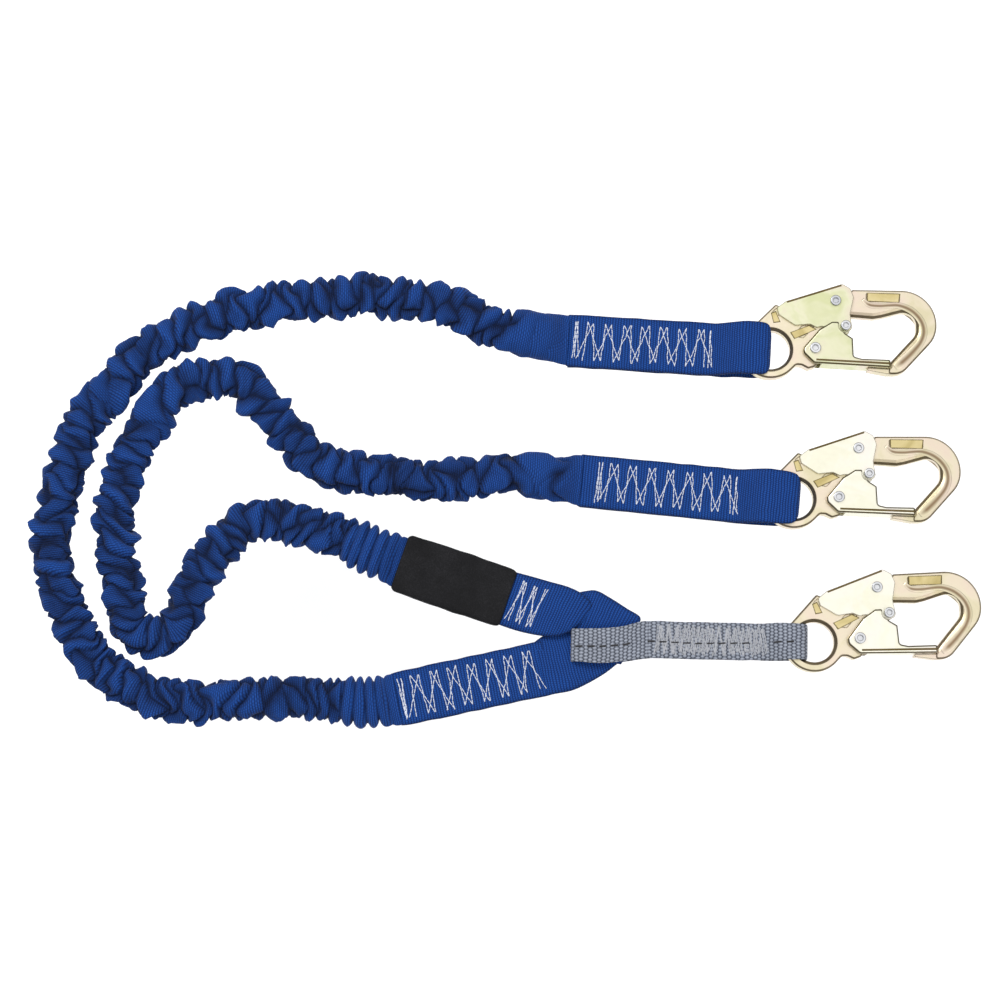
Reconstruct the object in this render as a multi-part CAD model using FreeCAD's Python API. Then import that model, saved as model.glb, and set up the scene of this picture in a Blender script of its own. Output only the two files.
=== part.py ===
"""Twin-leg shock absorbing lanyard: two elastic webbing legs with a locking snap hook each, joined by a
webbing bight to a grey harness strap with a third snap hook.  Laid flat on the XY plane, +Z up, millimetres.
Origin: centre of the bounding box of everything but the two elastic legs, on the plane it rests on."""

import FreeCAD, Part
import math
import os

V = FreeCAD.Vector

# ---- driving dimensions ------------------------------------------------------------------------------------
WEB_WIDTH = 37.0        # blue webbing, pressed flat
STRAP_THICK = 6.0       # two plies of flattened tubular webbing, sewn together
PLY = 3.0               # one flattened ply
LEG_WIDTH = 27.0        # gathered elastic leg, across
LEG_HEIGHT = 19.0       # gathered elastic leg, upright
LEG_WALL = 2.6          # bunched jacket wall
CORE_GAP = 2.6          # between the tear-out core and the jacket
GREY_WIDTH = 24.5       # grey harness webbing
GREY_PLY = 2.4
GREY_THICK = 7.5        # sewn grey strap, three plies
THREAD = 0.8            # sewing thread bundle
HINGE_GAP = 0.5         # between a rounded strap end and its hollow

HOOK_MID = 10.8         # height of the hooks' middle plane
BODY_HALF = 5.0         # half thickness of the hook body
BEVEL = 1.0             # along the outer rims of the hook body
THROAT_BEVEL = 2.4      # along the rims of the throat
EYE_IN = 13.6
EYE_OUT = 20.0
LEVER_PIVOT = V(44.7, 34.7, 0)
GATE_PIVOT = V(30.3, 0.6, 0)
LOCK_PIN = V(51.3, 16.8, 0)
LEVER_LAYER = (5.3, 6.8)
GATE_LAYER = (7.1, 8.9)
EYE_TO_BEND = 35.0      # from eye centre to the line where the unsewn webbing bends

HOOKS = {               # eye centre x, y and heading in degrees
    "a": (59.5, 105.4, -1.0),
    "b": (73.4, 1.4, 0.0),
    "c": (85.5, -96.4, 3.0),
}
# behind hooks a and b: heading, length to the eye centre, sewn from, sewn to, loop past the centre
STRAPS = {
    "a": (-3.65, 139.0, 3.0, 100.0, 1.0),
    "b": (-5.74, 144.9, 12.0, 108.0, 5.0),
}
LOWER = (-196.2, -134.3, 12.0, 104.0)     # lower branch: start x, y, heading, length
SLEEVE = (-194.7, -40.9, -18.8, 78.0)     # sleeve: start x, y, heading, length
HARNESS = (-27.0, -93.6, -1.43)           # bend line of the grey strap x, y, heading

# centre lines of the two elastic legs, from the strap behind the hook to the other sewn end
ROUTE_A = [(-97, 115.6), (-126, 121), (-148, 128), (-166, 141), (-206, 145.5), (-248, 145), (-288, 137.5),
           (-322, 131), (-358, 114), (-382, 98), (-392, 79), (-407, 66), (-419, 42), (-423, 18), (-431, -3),
           (-429, -40), (-423, -71), (-408, -98), (-390, -117), (-368, -132), (-338, -135), (-300, -138),
           (-268, -133), (-236, -135.5), (-214, -138.1)]
ROUTE_B = [(-88, 17.7), (-120, 19.5), (-150, 14.5), (-176, 14), (-206, 19.4), (-238, 21.5), (-257, 31),
           (-269, 47), (-285, 63), (-297, 79), (-313, 87.5), (-340, 86.5), (-355, 73), (-372, 47),
           (-384, 18), (-388, -10), (-390, -38), (-383, -62), (-378, -91), (-347, -92), (-338, -68),
           (-328, -46), (-313, -25), (-296, -11), (-274, -10.5), (-247, -19), (-212, -35)]


# ---- outlines and solids -----------------------------------------------------------------------------------
def rounded(corners):
    """Closed wire through corners (x, y, radius), each corner an arc tangent to both sides."""
    n = len(corners)
    ends = []
    for i in range(n):
        x, y, r = corners[i]
        p = V(x, y, 0)
        a = V(corners[i - 1][0], corners[i - 1][1], 0) - p
        b = V(corners[(i + 1) % n][0], corners[(i + 1) % n][1], 0) - p
        a.normalize()
        b.normalize()
        half = a.getAngle(b) / 2
        if r <= 0:
            ends.append((p, None, p))
            continue
        cut = r / math.tan(half)
        mid = a + b
        mid.normalize()
        ends.append((p + a * cut, p + mid * (r / math.sin(half) - r), p + b * cut))
    edges = []
    for i in range(n):
        start, middle, stop = ends[i]
        if middle is not None:
            edges.append(Part.Arc(start, middle, stop).toShape())
        nxt = ends[(i + 1) % n][0]
        if (nxt - stop).Length > 1e-6:
            edges.append(Part.makeLine(stop, nxt))
    return Part.Wire(edges)


def slab(corners, low, high):
    """Rounded outline as a plate between two heights."""
    face = Part.Face(rounded(corners))
    face.translate(V(0, 0, low))
    return face.extrude(V(0, 0, high - low))


def pair(corners, layer):
    """The same plate on both sides of the middle plane."""
    return slab(corners, layer[0], layer[1]), slab(corners, -layer[1], -layer[0])


def disc(at, radius, low, high):
    return Part.makeCylinder(radius, high - low, V(at.x, at.y, low))


def fuse(shapes):
    whole = shapes[0].multiFuse(shapes[1:])
    return whole.removeSplitter()


def bar(start, end, width, low, high):
    """Straight flat bar between two plan points."""
    run = end - start
    box = Part.makeBox(run.Length, width, high - low, V(0, -width / 2, low))
    box.rotate(V(0, 0, 0), V(0, 0, 1), math.degrees(math.atan2(run.y, run.x)))
    box.translate(V(start.x, start.y, 0))
    return box


def along(shape, x, y, heading, up=0.0):
    """Put a piece drawn along +X from the origin at its place."""
    out = shape.copy()
    out.rotate(V(0, 0, 0), V(0, 0, 1), heading)
    out.translate(V(x, y, up))
    return out


def ribbon(profile, width):
    """Side profile in XZ, extruded across the strap."""
    wire = rounded(profile)
    wire.rotate(V(0, 0, 0), V(1, 0, 0), 90)
    wire.translate(V(0, width / 2, 0))
    return Part.Face(wire).extrude(V(0, -width, 0))


def save(name, shape):
    if len(shape.Solids) != 1:
        print("NOT ONE SOLID", name, len(shape.Solids))
    shape.Solids[0].exportStep("parts/%s.step" % name)
    box = shape.BoundBox
    print("%-24s %9.1f mm3  z %.2f..%.2f" % (name, shape.Volume, box.ZMin, box.ZMax))
    made[name] = shape


# ---- snap hook ---------------------------------------------------------------------------------------------
def spring_coil(at, radius, wire, turns, pocket_half, arm_at, arm_length):
    """Torsion spring: a short coil with one straight arm."""
    height = 2 * (pocket_half - wire - 0.05)
    helix = Part.makeHelix(height / turns, height, radius)
    helix.translate(V(0, 0, -height / 2))
    climb = height / turns / (2 * math.pi) / radius
    ring = Part.Wire(Part.makeCircle(wire, V(radius, 0, -height / 2), V(0, 1, climb)))
    coil = Part.Wire(helix).makePipeShell([ring], True, True)
    arm = Part.makeCylinder(wire, arm_length + 0.8, V(radius - 0.05, 0.8, -height / 2), V(0, -1, 0))
    coil = coil.fuse(arm)
    coil.rotate(V(0, 0, 0), V(0, 0, 1), arm_at)
    coil.translate(at)
    return coil


def in_throat(p):
    return 48.5 < p.x < 101.2 and -6 < p.y < 29


def hook_body():
    far = EYE_OUT * math.sqrt(2)            # corners of the square round the eye
    outline = [(-far, 0, EYE_OUT), (3.7, 3.7 + far, 1.6), (8.4, 29.6, 1.6), (10.9, 21.0, 2.0),
               (43.6, 42.65, 3.0), (52.0, 38.2, 1.2), (56.6, 43.1, 1.6), (114.5, 43.1, 24), (114.5, 11, 20),
               (90, -16, 12), (80.6, -15.9, 1.6), (81.9, -8.2, 0), (100.7, 12.6, 9), (100.7, 28.9, 9),
               (89.6, 27.7, 4), (76.5, 24.1, 8), (71, 23.1, 6), (47.8, 24.6, 0), (47.8, 0.6, 1.6),
               (35.6, -5.2, 1.5), (30.6, -11.6, 1.6), (26.0, -13.0, 1.6), (21.5, -10.7, 1.5),
               (far - 10.4, -10.4, 2.5), (0, -far, EYE_OUT)]
    body = slab(outline, -BODY_HALF, BODY_HALF)
    for inside, size in ((True, THROAT_BEVEL), (False, BEVEL)):
        rim = [e for e in body.Edges if abs(abs(e.CenterOfMass.z) - BODY_HALF) < 1e-6]
        body = body.makeChamfer(size, [e for e in rim if in_throat(e.CenterOfMass) == inside])
    lip = slab([(66.6, -13.4, 0.6), (80.5, -15.9, 0), (88, -15, 0), (86, -9, 0), (81.3, -12.5, 0),
                (67.0, -11.9, 0.6)], -BODY_HALF + 0.6, BODY_HALF - 0.6)
    body = body.fuse(lip).removeSplitter()
    body = body.cut(disc(V(0, 0, 0), EYE_IN, -6, 6))
    eye = Part.makeCone(EYE_IN + 2.0, EYE_IN, 2.0, V(0, 0, BODY_HALF), V(0, 0, -1))
    body = body.cut(eye)
    eye.rotate(V(0, 0, 0), V(1, 0, 0), 180)
    body = body.cut(eye)
    body = body.fuse(disc(GATE_PIVOT, 6.2, -GATE_LAYER[0] + 0.2, GATE_LAYER[0] - 0.2)).removeSplitter()
    for side in (-1, 1):                    # blank sunk panels on both faces
        low, high = sorted((side * 4.3, side * 6.0))
        body = body.cut(slab([(66, 34.8, 1), (89, 34.8, 1), (89, 40.6, 1), (66, 40.6, 1)], low, high))
        body = body.cut(slab([(15.2, 9.6, 1), (22.5, 8.4, 1.5), (31.5, 17.6, 1), (22, 17.2, 1.5)], low, high))
        root = [(1.2, 22.4, 0.8), (6.8, 24.6, 0.8), (5.6, 30.2, 0.8), (1.6, 27.0, 0.8)]
        body = body.cut(slab(root, low, high))
    body = body.cut(disc(GATE_PIVOT, 3.03, -9, 9))
    body = body.cut(disc(LEVER_PIVOT, 2.83, -9, 9))
    body = body.cut(disc(GATE_PIVOT, 5.4, -3, 3))
    body = body.cut(disc(LEVER_PIVOT, 4.8, -2.6, 2.6))
    body = body.cut(bar(GATE_PIVOT + V(4.2, 1, 0), GATE_PIVOT + V(4.2, -12, 0), 2.4, -3, 3))
    body = body.cut(bar(LEVER_PIVOT + V(-3.8, 0, 0), LEVER_PIVOT + V(-3.8, 12, 0), 2.0, -2.6, 2.6))
    return body


def gate():
    cheek = [(22.2, 1.0, 3), (33.4, 14.2, 4), (42, 19.6, 2), (46.3, 19.6, 0), (51.0, 11.6, 2.5),
             (56.4, 8.0, 1.0),
             (56.9, -4.7, 2), (62.5, -6.1, 3), (82, -6.5, 1.2), (82, -12, 0.8), (29.4, -9.8, 3),
             (22.2, -2.8, 4)]
    left, right = pair(cheek, GATE_LAYER)
    spine = slab([(34.6, -10.0, 0), (80.8, -11.9, 0), (80.8, -10.4, 0), (34.6, -8.4, 0)],
                 -GATE_LAYER[1], GATE_LAYER[1])
    whole = fuse([left, right, spine])
    bend = [e for e in whole.Edges if abs(abs(e.CenterOfMass.z) - GATE_LAYER[1]) < 1e-6 and e.Length > 40
            and e.CenterOfMass.y < -8]
    whole = whole.makeFillet(1.7, bend)
    whole = whole.cut(disc(LOCK_PIN, 5.0, -12, 12))
    return whole.cut(disc(GATE_PIVOT, 3.05, -12, 12))


def lock_lever():
    cheek = [(4.2, 29.0, 2), (10.3, 33.6, 1.5), (49.5, 46.6, 3), (55, 43.3, 2), (57.2, 37.3, 2.5),
             (54.6, 25.2, 4), (56.2, 14.5, 3.5), (50.6, 11.7, 3.5), (44.5, 16.4, 3), (34.5, 16.3, 2),
             (31.7, 15.6, 2), (27, 17.9, 3), (16.8, 16.8, 4), (5.6, 24.2, 2)]
    left, right = pair(cheek, LEVER_LAYER)
    spine = slab([(10.6, 33.5, 0), (48.6, 46.1, 0), (49.1, 44.7, 0), (11.1, 32.1, 0)],
                 -LEVER_LAYER[1], LEVER_LAYER[1])
    whole = fuse([left, right, spine])
    whole = whole.cut(disc(LEVER_PIVOT, 2.85, -12, 12))
    return whole.cut(disc(LOCK_PIN, 2.23, -12, 12))


def rivet(at, shank, head, inner, outer, bore):
    """Rivet with dished heads between inner and outer on both sides."""
    parts = [disc(at, shank, -outer, outer)]
    for low, high in ((inner, outer), (-outer, -inner)):
        parts.append(disc(at, head, low, high))
    whole = fuse(parts)
    edges = [e for e in whole.Edges if e.Closed and abs(e.Length - 6.2832 * head) < 0.1
             and abs(abs(e.BoundBox.ZMax) - outer) < 0.01]
    whole = whole.makeFillet(0.6, edges)
    for low, high in ((outer - 1.3, outer + 1), (-outer - 1, -outer + 1.3)):
        whole = whole.cut(disc(at, bore, low, high))
    return whole


def hook_pieces():
    return {
        "body": hook_body(),
        "gate": gate(),
        "gate_rivet": rivet(GATE_PIVOT, 3.0, 3.8, GATE_LAYER[1] + 0.1, HOOK_MID, 2.0),
        "gate_spring": spring_coil(GATE_PIVOT, 4.3, 0.5, 4, 3.0, 0, 6.0),
        "lock_lever": lock_lever(),
        "lever_rivet": rivet(LEVER_PIVOT, 2.8, 3.7, LEVER_LAYER[1] + 0.1, 8.4, 1.9),
        "lever_spring": spring_coil(LEVER_PIVOT, 3.85, 0.45, 4, 2.6, 180, 3.4),
        "lock_pin": rivet(LOCK_PIN, 2.2, 3.5, GATE_LAYER[1] + 0.25, 10.6, 1.8),
    }


# ---- webbing -----------------------------------------------------------------------------------------------
def strap(length, width, thick):
    """Sewn flat strap from x=0, with a rounded end for the bend line at x=length."""
    r = thick / 2
    flat = Part.makeBox(length, width, thick, V(0, -width / 2, 0))
    end = Part.makeCylinder(r, width, V(length, -width / 2, r), V(0, 1, 0))
    seam = thick * 0.06
    whole = flat.fuse(end).removeSplitter()
    for side in (-1, 1):                    # the line between the plies shows on both edges
        groove = Part.makeBox(length - 2, 0.8, seam, V(1, side * width / 2 - 0.4, r - seam / 2))
        whole = whole.cut(groove)
    return whole


def eye_loop(width, thick, ply, tip, height, lift):
    """Unsewn webbing round the hook eye; x=0 at the eye centre, tip is how far its end reaches."""
    top = HOOK_MID + BODY_HALF + height + ply
    low = lift
    mid = (top + low) / 2
    back = -EYE_TO_BEND
    r = (top - low) / 2
    outer = [(back, 0, 0), (back + 5, 0, 6), (-21, low, 6), (tip, low, r - 0.1), (tip, top, r - 0.1),
             (-20, top, 5), (back, thick, 0)]
    whole = ribbon(outer, width)
    inner = [(back + 7, thick * 0.5, 0.3), (-20, low + ply, 4), (tip - ply, low + ply, r - ply - 0.1),
             (tip - ply, top - ply, r - ply - 0.1), (-20, top - ply, 3)]
    whole = whole.cut(ribbon(inner, width + 2))
    whole = whole.cut(Part.makeCylinder(thick / 2 + HINGE_GAP, width + 2, V(back, -width / 2 - 1, thick / 2),
                                        V(0, 1, 0)))
    behind = Part.makeBox(20, width + 2, 30, V(back - 20 + 0.8, -width / 2 - 1, -1))
    whole = whole.cut(behind)
    for lean in (-62, 62):              # the sewn strap swings this far up and down
        swung = Part.makeBox(30, width + 2, thick + 1.6, V(back - 30, -width / 2 - 1, -0.7))
        swung.rotate(V(back, 0, thick / 2), V(0, 1, 0), lean)
        whole = whole.cut(swung)
    room = disc(V(0, 0, 0), EYE_OUT + 0.35, -BODY_HALF - 0.3, BODY_HALF + 0.3)
    half = BODY_HALF + 0.3
    wedge = slab([(-14.8, 14.1, 0), (3.7, 33.0, 0), (20, 20, 0), (0, 0, 0)], -half, half)
    room = room.fuse(wedge).cut(disc(V(0, 0, 0), EYE_IN - 0.4, -8, 8))
    room.translate(V(0, 0, HOOK_MID))
    return whole.cut(room)


def zigzag(start, end, half_width, strokes, level, lean):
    """One thread laid to and fro across a strap, in a chain of straight stitches."""
    step = (end - start) / strokes
    points = []
    for i in range(strokes + 1):
        side = half_width if i % 2 else -half_width
        points.append(V(start + i * step + (lean if i % 2 else 0.0), side, 0))
    parts = [bar(points[i], points[i + 1], THREAD, level, level + THREAD * 0.7) for i in range(strokes)]
    knots = [disc(p, THREAD / 2, level, level + THREAD * 0.7) for p in points]
    return parts[0].multiFuse(parts[1:] + knots).removeSplitter()


def tube_path(points):
    """Straight runs joined by tangent arcs, in plan; returns the wire and its length."""
    pts = [V(x, y, 0) for x, y in points]
    edges = []
    last = pts[0]
    for i in range(1, len(pts) - 1):
        a = pts[i - 1] - pts[i]
        b = pts[i + 1] - pts[i]
        cut = 0.45 * min(a.Length, b.Length)
        a.normalize()
        b.normalize()
        half = a.getAngle(b) / 2
        radius = cut * math.tan(half)
        mid = a + b
        mid.normalize()
        enter = pts[i] + a * cut
        leave = pts[i] + b * cut
        top = pts[i] + mid * (radius / math.sin(half) - radius)
        edges.append(Part.makeLine(last, enter))
        edges.append(Part.Arc(enter, top, leave).toShape())
        last = leave
    edges.append(Part.makeLine(last, pts[-1]))
    return Part.Wire(edges)


def oval_tube(path, half_width, half_height, level):
    """Oval section carried along a flat path."""
    first = path.Edges[0]
    start = first.Vertexes[0].Point
    run = first.Vertexes[1].Point - start
    run.normalize()
    across = V(-run.y, run.x, 0)
    ring = Part.Ellipse(start + across * half_width, start + V(0, 0, half_height), start).toShape()
    solid = path.makePipeShell([Part.Wire(ring)], True, False)
    solid.translate(V(0, 0, level))
    return solid


def leg(tag, points):
    path = tube_path(points)
    level = LEG_HEIGHT / 2
    w, h = LEG_WIDTH / 2, LEG_HEIGHT / 2
    outer = oval_tube(path, w, h, level)
    hollow = oval_tube(path, w - LEG_WALL, h - LEG_WALL, level)
    inside = tube_path(points[1:-1])        # the core stops short of the flattened ends
    core = oval_tube(inside, w - LEG_WALL - CORE_GAP, h - LEG_WALL - CORE_GAP, level)
    save("leg_%s_jacket" % tag, outer.cut(hollow))
    save("leg_%s_core" % tag, core)
    print("cord leg_%s: length %.1f mm, radius %.1f mm" % (tag, path.Length, w))


# ---- build -------------------------------------------------------------------------------------------------
os.makedirs("parts", exist_ok=True)
made = {}

pieces = hook_pieces()
for tag, (x, y, heading) in HOOKS.items():
    for name, shape in pieces.items():
        save("hook_%s_%s" % (tag, name), along(shape, x, y, heading, HOOK_MID))

starts = {}
for tag, (heading, full, sewn_from, sewn_to, tip) in STRAPS.items():
    x, y = HOOKS[tag][:2]
    c, s = math.cos(math.radians(heading)), math.sin(math.radians(heading))
    x0, y0 = x - full * c, y - full * s
    starts[tag] = (x0, y0, c, s)
    flat = strap(full - EYE_TO_BEND, WEB_WIDTH, STRAP_THICK)
    save("leg_%s_end_strap" % tag, along(flat, x0, y0, heading))
    thread = zigzag(sewn_from, sewn_to, 13.0, 16, STRAP_THICK, 2.0)
    save("leg_%s_end_stitching" % tag, along(thread, x0, y0, heading))
    loop = along(eye_loop(WEB_WIDTH, STRAP_THICK, PLY, tip, 0.7, 2.2), x, y, heading)
    save("leg_%s_eye_loop" % tag, loop)

x, y, heading, length = LOWER
c, s = math.cos(math.radians(heading)), math.sin(math.radians(heading))
flat = Part.makeBox(length, WEB_WIDTH, STRAP_THICK, V(0, -WEB_WIDTH / 2, 0))
save("lower_branch_strap", along(flat, x, y, heading))
save("lower_branch_stitching", along(zigzag(3.0, 101.0, 14.0, 16, STRAP_THICK, 2.0), x, y, heading))
lower_start = (x, y, c, s)

x, y, heading, length = SLEEVE
c, s = math.cos(math.radians(heading)), math.sin(math.radians(heading))
upper_start = (x, y, c, s)
inner = [(0, -18.5, 1), (length + 27, -18.5, 1), (length + 27, 18.5, 1), (0, 18.5, 1)]
upper = slab(inner, 1.6, 1.6 + STRAP_THICK)
save("upper_branch_strap", along(upper, x, y, heading))
outer = Part.makeBox(length, 41, 9.2, V(0, -20.5, 0))
outer = outer.makeFillet(3.6, [e for e in outer.Edges if e.Length > length - 1])
space = Part.makeBox(length + 2, 37.4, STRAP_THICK + 0.4, V(-1, -18.7, 1.4))
sleeve = outer.cut(space)
save("branch_sleeve", along(sleeve, x, y, heading))
tack = zigzag(length + 1.5, length + 25.0, 15.5, 5, 1.6 + STRAP_THICK, 1.0)
save("upper_branch_stitching", along(tack, x, y, heading))

# the bight: one folded panel between the two branches, open to the left for the grey loop
panel = [(-97.0, -53.5, 0), (-68.5, -61.5, 3), (-61.5, -59.8, 3), (-27.2, -81.0, 4), (-36.0, -100.5, 8),
         (-47.5, -110.5, 6), (-77.5, -131.0, 8), (-95.5, -126.0, 0), (-95.5, -104.5, 0), (-84.5, -110.9, 0),
         (-73.2, -110.9, 1), (-73.2, -85.4, 1), (-82.0, -85.4, 1), (-97.0, -87.5, 0)]
bight = slab(panel, 3.2, 9.2)
bight = bight.cut(along(Part.makeBox(200, 80, 30, V(-200 + LOWER[3], -40, -5)), *LOWER[:3]))
bight = bight.cut(along(Part.makeBox(200, 60, 30, V(-200 + SLEEVE[3] + 27, -30, -5)), *SLEEVE[:3]))
bight = bight.cut(along(Part.makeBox(60, 27.4, 30, V(-17.5, -13.7, -5)), HARNESS[0], HARNESS[1], 5.0))
save("webbing_bight", bight)

# ---- grey harness strap ------------------------------------------------------------------------------------
# loop through the bight, on the same body as the legs; x=0 at its bend line
gr = GREY_THICK / 2
loop_profile = [(0, 0.4, 0), (-12, 0.0, 4), (-52, 0.0, 6.2), (-52, 12.6, 6.2), (-18, 12.6, 8), (-1, 7.5, 0),
                (0, 7.5, 0)]
hollow = [(-3.0, 3.6, 0.2), (-14, GREY_PLY, 4), (-52 + GREY_PLY, GREY_PLY, 3.7), (-52 + GREY_PLY, 10.2, 3.7),
          (-19, 10.2, 6), (-3.0, 5.6, 0.2)]
loop = ribbon(loop_profile, GREY_WIDTH).cut(ribbon(hollow, GREY_WIDTH + 2))
loop = along(loop, HARNESS[0], HARNESS[1], 5.0)
room = Part.makeBox(10, 40, 30, V(-1.6, -20, -5))
room = room.fuse(Part.makeCylinder(gr + HINGE_GAP, 40, V(0, -20, gr), V(0, 1, 0)))
for lean in (-62, 62):                  # the sewn part swings this far up and down
    swung = Part.makeBox(30, 40, GREY_THICK + 2.4, V(0, -20, -1.2))
    swung.rotate(V(0, 0, gr), V(0, 1, 0), lean)
    room = room.fuse(swung)
save("grey_loop", loop.cut(along(room, *HARNESS)))

x, y, heading = HARNESS
run = math.hypot(HOOKS["c"][0] - x, HOOKS["c"][1] - y)
length = run - EYE_TO_BEND
sewn = strap(length, GREY_WIDTH, GREY_THICK)
sewn = sewn.fuse(Part.makeCylinder(gr, GREY_WIDTH, V(0, -GREY_WIDTH / 2, gr), V(0, 1, 0))).removeSplitter()
save("harness_strap", along(sewn, x, y, heading))
tracer = Part.makeBox(length - 6, 0.9, 0.2, V(3, -0.45, GREY_THICK))
save("harness_tracer", along(tracer, x, y, heading))
tack = zigzag(2.5, length - 6, 9.5, 30, GREY_THICK, 1.0)
save("harness_stitching", along(tack.cut(tracer), x, y, heading))
x, y = HOOKS["c"][:2]
loop = eye_loop(GREY_WIDTH, GREY_THICK, GREY_PLY, -3.9, 0.7, 2.8)
save("harness_eye_loop", along(loop, x, y, heading))

# ---- elastic legs ------------------------------------------------------------------------------------------
for tag, route, last in (("a", ROUTE_A, lower_start), ("b", ROUTE_B, upper_start)):
    first = starts[tag]
    leg(tag, [(first[0], first[1])] + route + [(last[0], last[1])])

box = None
for name, shape in made.items():
    if "jacket" not in name and "core" not in name:
        box = shape.BoundBox if box is None else box.united(shape.BoundBox)
print("box without the legs", box)
print(len(made), "nodes")
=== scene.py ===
"""Visual model of the twin-leg shock absorbing lanyard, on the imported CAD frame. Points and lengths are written
in millimetres and scaled by MM."""

import math

import bpy
import numpy as np
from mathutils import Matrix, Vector
from mathutils.bvhtree import BVHTree


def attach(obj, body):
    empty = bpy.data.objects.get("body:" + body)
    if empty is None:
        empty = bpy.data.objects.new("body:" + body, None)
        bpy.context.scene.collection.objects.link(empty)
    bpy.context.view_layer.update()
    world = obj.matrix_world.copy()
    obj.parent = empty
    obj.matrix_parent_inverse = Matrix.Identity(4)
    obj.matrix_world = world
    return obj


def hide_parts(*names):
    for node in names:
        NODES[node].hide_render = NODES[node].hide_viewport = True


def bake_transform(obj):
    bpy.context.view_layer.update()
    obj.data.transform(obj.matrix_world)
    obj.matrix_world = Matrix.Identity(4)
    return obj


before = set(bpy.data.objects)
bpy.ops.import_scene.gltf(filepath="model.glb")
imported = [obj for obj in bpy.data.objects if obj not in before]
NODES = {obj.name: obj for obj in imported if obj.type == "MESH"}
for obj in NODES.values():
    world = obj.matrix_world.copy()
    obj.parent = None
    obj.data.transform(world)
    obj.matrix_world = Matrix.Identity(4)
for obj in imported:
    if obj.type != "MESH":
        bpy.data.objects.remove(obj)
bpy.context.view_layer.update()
MM = 0.001
# x and y of each hook's eye, then the headings of its strap and of the hook itself, in degrees
EYES = {"a": (59.5, 105.4, -3.65, -1.0), "b": (73.4, 1.4, -5.74, 0.0), "c": (85.5, -96.4, -1.43, 3.0)}
# where each leg is sewn to its branch strap, and the heading of that strap
LOWER_END, LOWER_HEADING = (-196.2, -134.3), 12.0
UPPER_END, UPPER_HEADING = (-194.7, -40.9), -18.8
WEB_THICK = 2.9             # one ply of blue webbing
THREAD_RADIUS = 0.30
LEG_LEVEL = 9.6             # height of the legs' centre lines
CORE_CLEAR = (9.0, 5.0)     # half width and half height that the gathered jackets keep clear of
LOBE_PITCH = 12.5           # length of a lobe of gathered cloth
PLEATED_END = 40            # length of the even pleats beside a sewn end
PLEAT_PITCH = 7.8
BEND_AT, BEND_HALF = -35.0, 7    # where webbing bends behind an eye, and half the length that it bends over
HOOK_MID, FACE = 10.8, 5.0       # height of the hooks' middle plane, and their faces above and below it
FACES = (("top", 1), ("back", -1))      # name and direction of each face
FLOOR_AT, FLOOR_HALF = -0.25, 40     # metres; the floor lies below the lowest point that a hook bends down to
VIEW_WIDTH = 0.684          # metres across the picture
LENS, SENSOR = 85, 36
VIEW_TILT = 9               # degrees


# ---- materials ---------------------------------------------------------------------------------------------
class Nodes:
    """A material under construction, with short ways to add and link nodes."""

    def __init__(self, name):
        self.mat = bpy.data.materials.new(name)
        self.mat.use_nodes = True
        self.tree = self.mat.node_tree
        self.bsdf = self.tree.nodes["Principled BSDF"]

    def add(self, kind, **values):
        node = self.tree.nodes.new(kind)
        for key, value in values.items():
            if hasattr(node, key):
                setattr(node, key, value)
            else:
                node.inputs[key.replace("_", " ")].default_value = value
        return node

    def link(self, a, b):
        self.tree.links.new(a, b)

    def math(self, op, a, b=None):
        node = self.add("ShaderNodeMath", operation=op)
        for i, value in enumerate((a, b)):
            if value is None:
                continue
            if isinstance(value, (int, float)):
                node.inputs[i].default_value = value
            else:
                self.link(value, node.inputs[i])
        return node.outputs[0]

    def mix(self, factor, a, b, blend="MIX"):
        node = self.add("ShaderNodeMix", data_type="RGBA", blend_type=blend)
        for i, value in ((0, factor), (6, a), (7, b)):
            if isinstance(value, (int, float)):
                node.inputs[i].default_value = value
            elif isinstance(value, tuple):
                node.inputs[i].default_value = (*value, 1.0)
            else:
                self.link(value, node.inputs[i])
        return node.outputs[2]

    def bump(self, height, strength, distance):
        node = self.add("ShaderNodeBump")
        node.inputs["Strength"].default_value = strength
        node.inputs["Distance"].default_value = distance
        self.link(height, node.inputs["Height"])
        self.link(node.outputs[0], self.bsdf.inputs["Normal"])


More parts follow.
